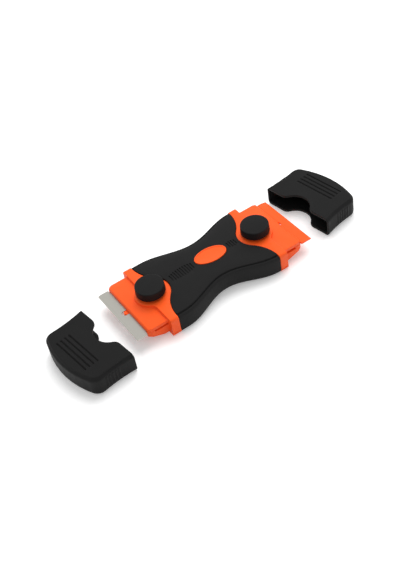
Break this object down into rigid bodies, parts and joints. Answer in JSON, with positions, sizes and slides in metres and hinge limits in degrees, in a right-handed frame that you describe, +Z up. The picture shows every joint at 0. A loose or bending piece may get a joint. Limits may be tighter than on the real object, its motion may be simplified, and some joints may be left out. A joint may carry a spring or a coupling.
{
  "type": "hob scraper",
  "caption": "Double-ended hand scraper with a steel blade and a plastic blade, each held by a clamp plate and knob, a soft waisted grip and pull-off end caps.",
  "frame": {"origin": "middle of the tool's sole, on the plane it lies on", "axes": "+X along the tool towards the plastic blade, +Y across it, +Z up out of the clamp knobs"},
  "size_m": [0.1846, 0.0593, 0.0174],
  "materials": {
    "orange_core": "moulded polypropylene, satin",
    "soft_grip": "soft overmoulded elastomer, matt",
    "orange_badge": "moulded, satin, bare face",
    "orange_clamp": "moulded polypropylene, satin",
    "bolt_steel": "zinc plated",
    "washer_steel": "zinc plated",
    "insert_brass": "turned brass",
    "knob_black": "moulded, matt",
    "blade_steel": "rolled strip with a ground edge",
    "orange_blade": "moulded, satin",
    "cap_black": "moulded polypropylene, fine spark texture"
  },
  "bodies": {
    "handle": {"core": "orange_core", "grip": "soft_grip", "badge": "orange_badge", "near_stud": "bolt_steel", "far_stud": "bolt_steel"},
    "near_clamp": {"near_clamp": "orange_clamp", "near_washer": "washer_steel"},
    "far_clamp": {"far_clamp": "orange_clamp", "far_washer": "washer_steel"},
    "near_knob": {"near_knob": "knob_black", "near_insert": "insert_brass"},
    "far_knob": {"far_knob": "knob_black", "far_insert": "insert_brass"},
    "steel_blade": {"steel_blade": "blade_steel"},
    "plastic_blade": {"plastic_blade": "orange_blade"},
    "near_cap": {"near_cap": "cap_black"},
    "far_cap": {"far_cap": "cap_black"}
  },
  "joints": [
    {"name": "near_clamp_lift", "type": "slide", "parent": "handle", "child": "near_clamp", "axis": [0, 0, 1], "range_m": [0, 0.00105]},
    {"name": "far_clamp_lift", "type": "slide", "parent": "handle", "child": "far_clamp", "axis": [0, 0, 1], "range_m": [0, 0.00105]},
    {"name": "near_knob_turn", "type": "hinge", "parent": "near_clamp", "child": "near_knob", "pos_m": [-0.0332, 0, 0.0125], "axis": [0, 0, 1], "range_deg": [0, 540]},
    {"name": "far_knob_turn", "type": "hinge", "parent": "far_clamp", "child": "far_knob", "pos_m": [0.0332, 0, 0.0125], "axis": [0, 0, 1], "range_deg": [0, 540]},
    {"name": "steel_blade_slide", "type": "slide", "parent": "handle", "child": "steel_blade", "axis": [-1, 0, 0], "range_m": [0, 0.0115]},
    {"name": "plastic_blade_slide", "type": "slide", "parent": "handle", "child": "plastic_blade", "axis": [1, 0, 0], "range_m": [0, 0.0115]},
    {"name": "near_cap_slide", "type": "slide", "parent": "handle", "child": "near_cap", "axis": [-0.9925, -0.1219, 0], "range_m": [-0.004, 0.02]},
    {"name": "far_cap_slide", "type": "slide", "parent": "handle", "child": "far_cap", "axis": [0.9877, 0.1564, 0], "range_m": [-0.004, 0.02]}
  ],
  "couplings": [
    {"joint": "near_knob_turn", "follows": "near_clamp_lift", "rad_per_m": 8976},
    {"joint": "far_knob_turn", "follows": "far_clamp_lift", "rad_per_m": 8976}
  ]
}
